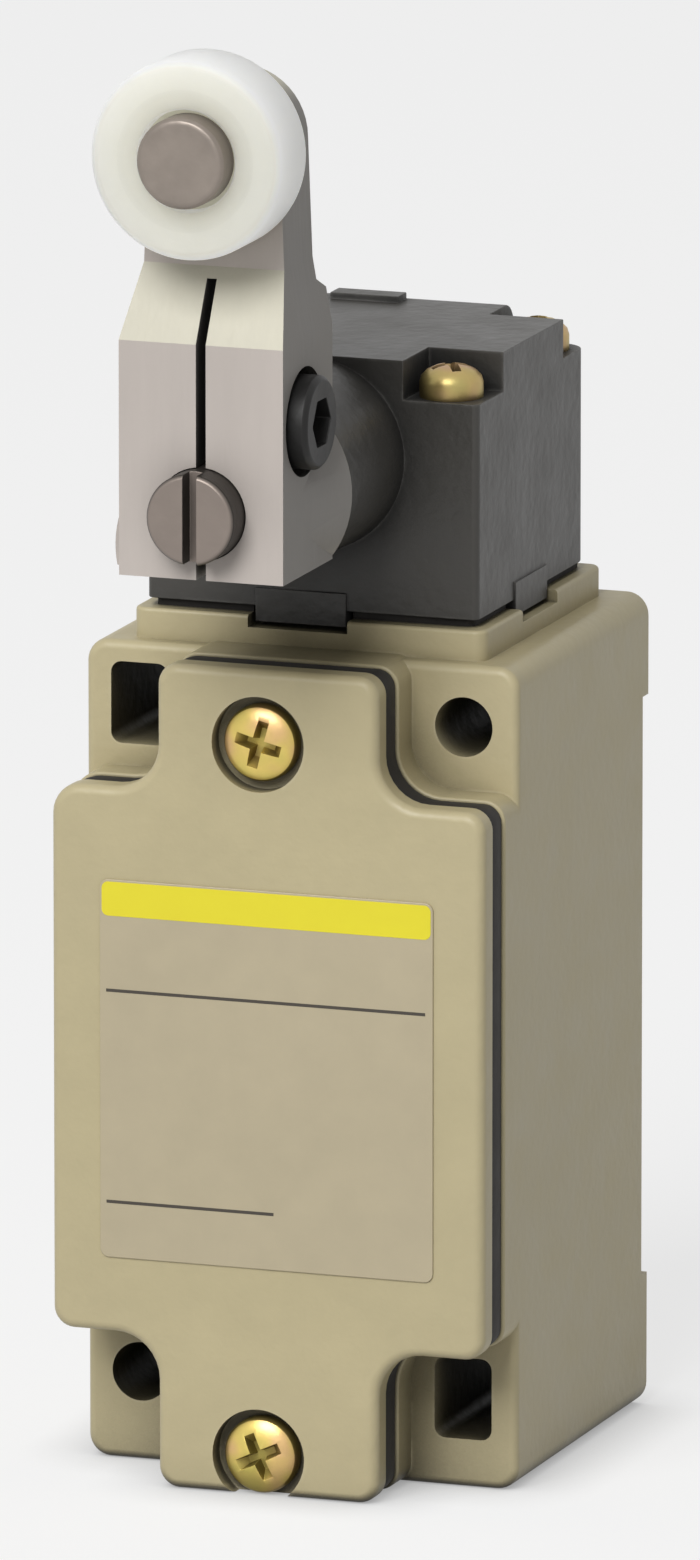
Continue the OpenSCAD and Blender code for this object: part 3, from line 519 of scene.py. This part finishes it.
def crossOutline(inset, c=cover):
    w, h, t = c["plate"][0] / 2 - inset, c["plate"][1] / 2 - inset, c["tongue"] / 2 - inset
    r, ul = (max(c["leastCorner"], c[corner] - inset) for corner in ("corner", "upperLeft"))
    n, top, foot = c["notch"] + inset, c["top"] - inset, c["foot"] + inset
    corners = ((t - r, foot + r, r, -90, 0), (t + n, -h - n, n, 180, 90), (w - r, -h + r, r, -90, 0),
               (w - r, h - r, r, 0, 90), (t + n, h + n, n, 270, 180), (t - r, top - r, r, 0, 90),
               (-t + r, top - r, r, 90, 180), (-t - n, h + n, n, 360, 270), (-w + ul, h - ul, ul, 90, 180),
               (-w + r, -h + r, r, 180, 270), (-t - n, -h - n, n, 90, 0), (-t + r, foot + r, r, 180, 270))
    return [point for corner in corners for point in arc(*corner)]


def headSides(size):  # the middle of each side of a block about the head's axis
    for i in range(4):
        spin = Matrix.Translation((0, head["y"], 0)) @ Matrix.Rotation(math.pi / 2 * i, 4, "Z")
        yield spin @ Matrix.Translation((head["lugShift"], -size[(i + 1) % 2] / 2, 0))


def headCorners():
    return [(sx, sy) for sx in (1, -1) for sy in (-1, 1)]


def headScrewSpots():
    x, y = head["screwAt"]
    return [(sx * x, head["y"] + sy * y) for sx, sy in headCorners()]


def buildCase(c):
    middle, tall = (c["top"] + c["foot"]) / 2, c["top"] - c["foot"]
    ear, rim = c["ear"], c["rim"]
    shell = shrinking(c["width"], tall, c["corner"], 0, middle, c["leastCorner"])
    body = loft("case_shell", shell, overEdge(c["edge"], ear, 1) + [(0, 0)])
    lip = loft("rim", crossOutline, overEdge(c["rimEdge"], rim, 1) + [(0, ear + c["rimRoot"])])
    plan = shrinking(*c["platform"], c["platformCorner"], 0, head["y"])
    levels = overEdge(c["platformEdge"], c["platformTop"], -1) + [(0, c["top"] - c["platformRoot"])]
    combine(body, [lip, loft("deck", plan, levels, "z")], "UNION")
    depth, low, high = c["relief"]
    hallTop, deckCut = c["cavity"][1] / 2, c["platformTop"] + past
    cuts = [prism("cavity", softRect(*c["cavity"]), rim - past, c["floor"]),
            box("relief", (-c["width"], -depth, low), (c["width"], past, high)),
            prism("conduit", circle(c["conduit"], 0, c["conduitY"]), c["foot"] - past, past - hallTop, "z"),
            prism("guide", circle(c["guide"], 0, head["y"]), hallTop - past, deckCut, "z")]
    hx, hz = c["holeAt"]
    for s in (1, -1):
        cuts.append(prism("hole", circle(c["hole"], s * hx, s * hz), ear - past, past))
        cuts.append(prism("slot", softRect(*c["slot"], -s * hx, s * hz), ear - past, past))
    half, deep = head["lug"][0] / 2 + c["lugRoom"], c["lugNotch"] / 2
    floor = head["bottom"] - head["lugDrop"] - c["lugRoom"]
    cuts += [box("lugRoom", (-half, -deep, floor), (half, deep, deckCut), at)
             for at in headSides(c["platform"])]
    cuts += [prism("tapped", circle(c["tapped"], *spot), c["headTip"], deckCut, "z")
             for spot in headScrewSpots()]
    cuts += [prism("tapped", circle(c["tapped"], cover["screwX"], z), rim - past, rim + c["coverTip"])
             for z in cover["screwZ"]]
    return soften(combine(body, cuts), c["soft"])


dress(buildCase(case), "case", "case_paint", "case_body")
thread = {"pitch": 1.5, "root": 9.93, "crest": 9.26, "flanks": (0.62, 0.12), "low": -37.6, "high": -22.2,
          "steps": 40}


def buildThread(t):  # winding ridge inside the conduit entry
    turns = (t["high"] - t["low"] - t["pitch"]) / t["pitch"]
    wide, slim = t["flanks"]
    ridge = ((t["root"], -wide), (t["crest"], -slim), (t["crest"], slim), (t["root"], wide))
    loops = []
    for i in range(int(turns * t["steps"]) + 1):
        a, z = 2 * math.pi * i / t["steps"], t["low"] + t["pitch"] * (0.5 + i / t["steps"])
        loops.append([(r * math.cos(a), case["conduitY"] + r * math.sin(a), z + dz) for r, dz in ridge])
    return soften(fromLoops("conduit_thread", loops))


dress(buildThread(thread), "case", "steel")
print("case built")


# cover, seal, label and screws
def buildCover(c):
    front, back = c["front"], c["back"]
    levels = overEdge(c["edge"], front, 1) + overEdge(c["backEdge"], back, -1)[::-1]
    plate = loft("cover_plate", crossOutline, levels)
    cuts = [prism("pocket", softRect(*case["cavity"]), back - c["pocket"], back + past)]
    for z in c["screwZ"]:
        at = (c["screwX"], z)
        cuts.append(prism("bore", circle(c["bore"], *at), front - past, front + c["boreDepth"]))
        cuts.append(prism("through", circle(c["hole"], *at), front - past, back + past))
    return soften(combine(plate, cuts), c["soft"])


dress(buildCover(cover), "case", "case_paint", "front_cover")
seal = {"inset": 0.2, "bulge": 0.12, "front": cover["back"], "back": case["rim"], "steps": 6}


def buildSeal(g):
    front, back = g["front"], g["back"]
    levels = []
    for i in range(g["steps"] + 1):
        t = i / g["steps"]
        levels.append((g["inset"] + g["bulge"] * (2 * t - 1) ** 2, front + (back - front) * t))
    ring = loft("cover_seal", crossOutline, levels)
    openings = [softRect(*case["cavity"])]
    openings += [circle(cover["hole"], cover["screwX"], z) for z in cover["screwZ"]]
    return soften(combine(ring, [prism("opening", o, front - past, back + past) for o in openings]))


dress(buildSeal(seal), "case", "rubber", "cover_gasket")
labelLow, labelHigh = span("label_plate")
label = {"width": labelHigh.x - labelLow.x, "low": labelLow.z, "high": labelHigh.z, "face": labelLow.y,
         "thick": 0.2, "corner": 0.8, "leastCorner": 0.1, "edge": 0.08, "sunk": 0.03, "band": (12.95, 16.0),
         "bandInset": 0.2, "bandCorner": 0.6, "bandEdge": 0.02, "printBack": 0.06, "ink": 0.28,
         "rules": ((6.3, 29.5), (-12.6, 15.5)), "ruleSunk": 0.01, "ruleEdge": 0.01, "margin": 0.6}


def buildLabel(s):
    def sheet(name, wide, low, high, corner, levels):
        plan = shrinking(wide, high - low, corner, 0, (high + low) / 2, s["leastCorner"])
        return soften(loft(name, plan, levels))

    face, printBack, half = s["face"], s["face"] + s["printBack"], s["ink"] / 2
    levels = overEdge(s["edge"], face + s["sunk"], 1) + [(0, face + s["thick"])]
    field = sheet("label_field", s["width"], s["low"], s["high"], s["corner"], levels)
    dress(field, "case", "label", "label_plate")
    levels = overEdge(s["bandEdge"], face, 1) + [(0, printBack)]
    band = sheet("label_band", s["width"] - 2 * s["bandInset"], *s["band"], s["bandCorner"], levels)
    dress(band, "case", "label_yellow", slot="label")
    left = -s["width"] / 2 + s["margin"]
    for n, (z, wide) in enumerate(s["rules"]):
        low, high = (left, face + s["ruleSunk"], z - half), (left + wide, printBack, z + half)
        rule = soften(box("label_rule." + str(n + 1), low, high), s["ruleEdge"], segments=1)
        dress(rule, "case", "label_ink", slot="label")


buildLabel(label)
coverScrew = {"head": (3.4, 2.0), "wing": 0.7, "thick": 0.16, "depth": 1.3, "shank": 2.0, "length": 11.7,
              "turn": 75, "turnStep": 40}
coverSeats = [(cover["screwX"], cover["front"] + cover["boreDepth"], z) for z in cover["screwZ"]]
placeScrews("cover_screw", "cover_screws", coverSeats, (0, -1, 0), coverScrew, "gold_screw")
print("cover built")


# head
def buildHead(h):
    w, d = h["size"]
    front, back = h["y"] - d / 2, h["y"] + d / 2
    plan = softRect(w, d, h["crisp"], 0, h["y"], h["rear"])
    body = prism("head_casting", plan, h["bottom"], h["top"], "z")
    ahead, under = front - past, h["bottom"] - past
    bend = arc(back - h["rear"], h["top"] - h["rear"], h["rear"], 0, 90)
    side = [(ahead, under), (back, under)] + bend + [(ahead, h["top"])]
    combine(body, [prism("side", side, -w, w, "x")], "INTERSECT")
    (big, small, long), bevel = h["boss"], h["bossBevel"]
    boss = [(0, -past), (big, -past), (big, 0), (small, long - bevel), (small - bevel, long), (0, long)]
    joins = [turned("boss", boss, (0, front, h["shaftZ"]), (0, -1, 0))]
    lw, lt, lh = h["lug"]
    low = h["bottom"] - h["lugDrop"]
    joins += [box("lug", (-lw / 2, -h["lugProud"], low), (lw / 2, lt - h["lugProud"], low + lh), at)
              for at in headSides(h["size"])]
    mx, mw, md, mh = h["mark"]
    far = back - h["rear"]
    joins.append(box("mark", (mx, far - md, h["top"] - h["markRoot"]), (mx + mw, far, h["top"] + mh)))
    combine(body, joins, "UNION")
    cw, cd, cr, roof = h["chamber"]
    cuts = [prism("chamber", softRect(cw, cd, cr, 0, h["y"]), low - past, roof, "z")]
    px, py, deep = h["pocket"]
    for (sx, sy), spot in zip(headCorners(), headScrewSpots()):
        x = sorted((sx * (w / 2 - px), sx * (w / 2 + past)))
        y = sorted((h["y"] + sy * (d / 2 - py), h["y"] + sy * (d / 2 + past)))
        cuts.append(box("pocket", (x[0], y[0], h["top"] - deep), (x[1], y[1], h["top"] + past)))
        cuts.append(prism("through", circle(h["hole"], *spot), low - past, h["top"] + past, "z"))
    cuts += [prism("bore", circle(r, 0, h["shaftZ"]), a, b) for r, a, b in h["bores"]]
    return soften(combine(body, cuts), h["soft"])


dress(buildHead(head), "case", "head_paint", "head_housing")
headScrew = {"head": (2.8, 2.9), "wing": 0.7, "thick": 0.16, "depth": 1.7, "shank": 2.0, "length": 23.4,
             "turn": 35, "turnStep": 25}
headSeats = [(*spot, head["top"] - head["pocket"][2]) for spot in headScrewSpots()]
placeScrews("head_screw", "head_screws", headSeats, (0, 0, 1), headScrew, "dull_screw")
print("head built")

# lever, clamp bolt, shaft, roller and pin
leverLow, leverHigh = span("lever_arm")
shaftLow, shaftHigh = span("operating_shaft")
rollerLow, rollerHigh = span("roller")
lever = {"front": leverLow.y, "back": leverHigh.y, "bottom": leverLow.z, "brow": 67.5, "browTop": 73.8,
         "armFront": -57.1, "armBack": -49.9, "backStep": (2, 3), "half": 7.5, "armHalf": 6.4, "tip": 6.0,
         "hub": 9.3, "hubNose": 7.45, "hubDrop": 4.0, "hubFront": -56.5, "slit": 0.45, "slitEnd": 1.0,
         "shaft": 4.1, "shaftZ": head["shaftZ"], "clampAt": (-55.0, 60.3), "clampHole": 2.55,
         "pocket": (4.8, 3.9), "pin": 2.5, "pinZ": (rollerLow.z + rollerHigh.z) / 2, "soft": 0.3,
         "bevelFrom": 20}


def buildLever(v):
    front, back, bottom, browTop = v["front"], v["back"], v["bottom"], v["browTop"]
    wide, slim, clear = v["half"], v["armHalf"], 2 * v["hub"]
    over, (upper, lower) = v["pinZ"] + v["tip"] + past, v["backStep"]
    side = [(front, bottom), (front, v["brow"]), (v["armFront"], browTop), (v["armFront"], over),
            (v["armBack"], over), (v["armBack"], browTop - upper), (back, browTop - lower), (back, bottom)]
    body = prism("lever_casting", side, -clear, clear, "x")
    face = [(-wide, bottom), (wide, bottom), (wide, v["brow"]), (slim, browTop)]
    face += arc(0, v["pinZ"], v["tip"], 0, 180, steps=24) + [(-slim, browTop), (-wide, v["brow"])]
    through = lambda name, points: prism(name, points, front - past, back + past)
    combine(body, [through("face", face)], "INTERSECT")

    def halfHub(hand, z, nose):  # the hub tapers on its right and sits lower on its left
        def plan(inset):
            r = v["hub"] - inset
            cut = math.degrees(math.asin((z - bottom) / r))
            return [(hand * x, y) for x, y in arc(0, z, r, -cut, 90, steps=24)] + [(0, bottom)]
        return loft("hub", plan, [(v["hub"] - nose, v["hubFront"]), (0, back)])

    halves = [halfHub(1, v["shaftZ"], v["hubNose"]), halfHub(-1, v["shaftZ"] - v["hubDrop"], v["hub"])]
    combine(body, halves, "UNION")
    (r, seat), gap = v["pocket"], v["slit"]
    cuts = [through("shaftBore", circle(v["shaft"], 0, v["shaftZ"])),
            through("pinHole", circle(v["pin"], 0, v["pinZ"])),
            box("slit", (-gap, front - past, bottom - past), (gap, back + past, browTop - v["slitEnd"])),
            prism("clampHole", circle(v["clampHole"], *v["clampAt"]), -clear, clear, "x"),
            prism("clampPocket", circle(r, *v["clampAt"]), seat, clear, "x")]
    return soften(combine(body, cuts), v["soft"], angle=v["bevelFrom"])


dress(buildLever(lever), "lever", "lever_cast", "lever_arm")
clamp = {"head": (4.1, 5.2), "bevel": 0.4, "socket": (2.31, 2.6), "shank": 2.5, "tip": -6.9, "soft": 0.12}


def buildClamp(c):
    (r, h), (key, deep), at = c["head"], c["socket"], (lever["pocket"][1], *lever["clampAt"])
    tip, shank, bevel = c["tip"] - at[0], c["shank"], c["bevel"]
    profile = [(0, tip), (shank, tip), (shank, 0), (r, 0), (r, h - bevel), (r - bevel, h), (0, h)]
    bolt = turned("clamp_bolt", profile, at, (1, 0, 0))
    floor, mouth = h - deep, h + past
    profile = [(0, floor), (key, floor), (key, mouth), (0, mouth)]
    return soften(combine(bolt, [turned("socket", profile, at, (1, 0, 0), steps=6)]), c["soft"])


dress(buildClamp(clamp), "lever", "black_steel", "clamp_screw")
shaft = {"front": shaftLow.y, "back": shaftHigh.y, "r": 4.0, "bevel": 0.3, "groove": (-27.3, -26.5, 3.3),
         "shoulder": -25.7, "journal": 2.3, "slot": (0.6, 1.8), "soft": 0.1}


def buildShaft(s):
    r, neck, journal, bevel, front = s["r"], s["groove"][2], s["journal"], s["bevel"], s["front"]
    start, end, shoulder, long = (y - front for y in (*s["groove"][:2], s["shoulder"], s["back"]))
    profile = [(0, 0), (r - bevel, 0), (r, bevel), (r, start), (neck, start), (neck, end), (r, end),
               (r, shoulder), (journal, shoulder), (journal, long), (0, long)]
    bar = turned("shaft_bar", profile, (0, front, head["shaftZ"]), (0, 1, 0))
    (half, deep), reach = s["slot"], r + past
    low, high = head["shaftZ"] - reach, head["shaftZ"] + reach
    cut = box("slot", (-half, front - past, low), (half, front + deep, high))
    return soften(combine(bar, [cut]), s["soft"])


dress(buildShaft(shaft), "lever", "steel", "operating_shaft")
roller = {"r": (rollerHigh.z - rollerLow.z) / 2, "bore": 2.55, "front": rollerLow.y,
          "width": rollerHigh.y - rollerLow.y, "edge": 0.9, "dish": (5.8, 0.3), "dishSlope": 0.4,
          "recess": (4.4, 1.5), "lip": 0.15, "steps": 96}


def buildRoller(v):
    (dish, low), (recess, deep), lip = v["dish"], v["recess"], v["lip"]
    profile = [(v["bore"], deep), (recess, deep), (recess, low + lip), (recess + lip, low), (dish, low),
               (dish + v["dishSlope"], 0)]
    rims = overEdge(v["edge"], 0, 1) + overEdge(v["edge"], v["width"], -1)[::-1]
    profile += [(v["r"] - inset, d) for inset, d in rims] + [(v["bore"], v["width"])]
    return soften(turned("roller_wheel", profile, (0, v["front"], lever["pinZ"]), (0, 1, 0), v["steps"]))


dress(buildRoller(roller), "roller", "nylon", "roller")
pin = {"head": (4.0, 2.8), "crown": ((0.84, 1.0), (0.93, 0.97), (1.0, 0.85)), "gap": 0.15, "shank": 2.5,
       "rivet": (3.4, 2.8, 0.8), "soft": 0.08}


def buildPin(p):
    (r, h), (wide, end, thick), shank = p["head"], p["rivet"], p["shank"]
    face = roller["front"] + roller["recess"][1] - p["gap"]
    tail = lever["armBack"] - face
    profile = [(0, -h)] + [(r * out, -h * up) for out, up in p["crown"]]
    profile += [(r, 0), (shank, 0), (shank, tail), (wide, tail), (end, tail + thick), (0, tail + thick)]
    return soften(turned("roller_rivet", profile, (0, face, lever["pinZ"]), (0, 1, 0)), p["soft"])


dress(buildPin(pin), "lever", "pin_steel", "roller_pin", slot="steel")
print("lever, shaft and roller built")


# hidden springs: a copy of each CAD spring stands in its place
def flexSpring(name, node, axis):
    coil = bpy.data.objects.new(name, frame["nodes"][node].data.copy())
    coil.matrix_world = frame["nodes"][node].matrix_world
    bpy.context.scene.collection.objects.link(coil)
    low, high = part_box(node)
    start, end = (low + high) / 2, (low + high) / 2
    start[axis], end[axis] = low[axis], high[axis]
    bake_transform(coil)
    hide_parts(node)


flexSpring("plunger_coil", "plunger_spring", axis=2)
flexSpring("return_coil", "return_spring", axis=1)
